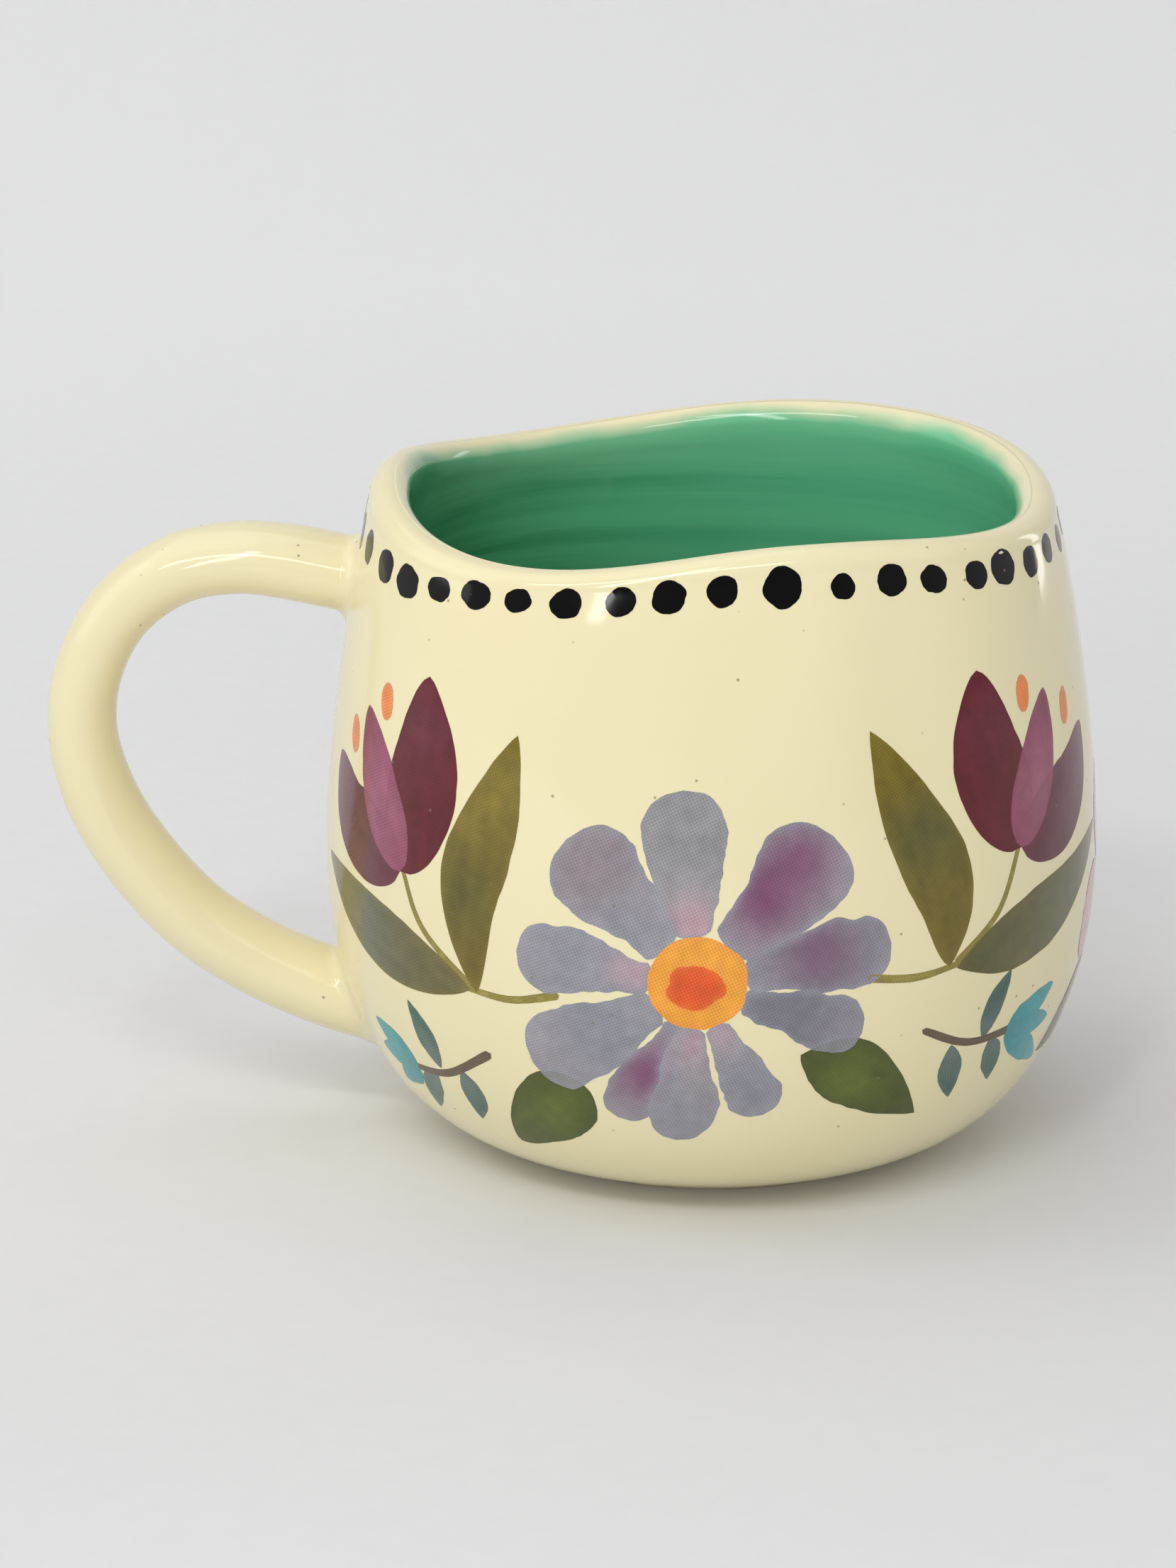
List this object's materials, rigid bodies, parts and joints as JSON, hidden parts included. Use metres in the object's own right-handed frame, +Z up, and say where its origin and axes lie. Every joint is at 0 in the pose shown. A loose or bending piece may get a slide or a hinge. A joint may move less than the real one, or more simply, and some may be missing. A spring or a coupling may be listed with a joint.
{
  "type": "stoneware mug",
  "caption": "Rounded stoneware mug with a wavy hand-formed rim, a pulled loop handle, a green inner glaze and a painted flower pattern on cream.",
  "frame": {"origin": "middle of the foot, on the surface the mug stands on", "axes": "+Z up along the cup's axis, -X towards the handle, -Y towards the painted flower"},
  "size_m": [0.1356, 0.099, 0.0887],
  "materials": {
    "cream_glaze": "gloss cream glaze with fine specks",
    "green_glaze": "gloss brushed green glaze",
    "bare_clay": "dry unglazed stoneware",
    "underglaze_black": "gloss glaze over black brush dots",
    "underglaze_flowers": "gloss glaze over a painted flower print"
  },
  "bodies": {
    "root": {"cup_body": "cream_glaze", "inner_glaze": "green_glaze", "foot": "bare_clay", "handle": "cream_glaze", "upper_slip_fillet": "cream_glaze", "lower_slip_fillet": "cream_glaze"}
  },
  "joints": []
}
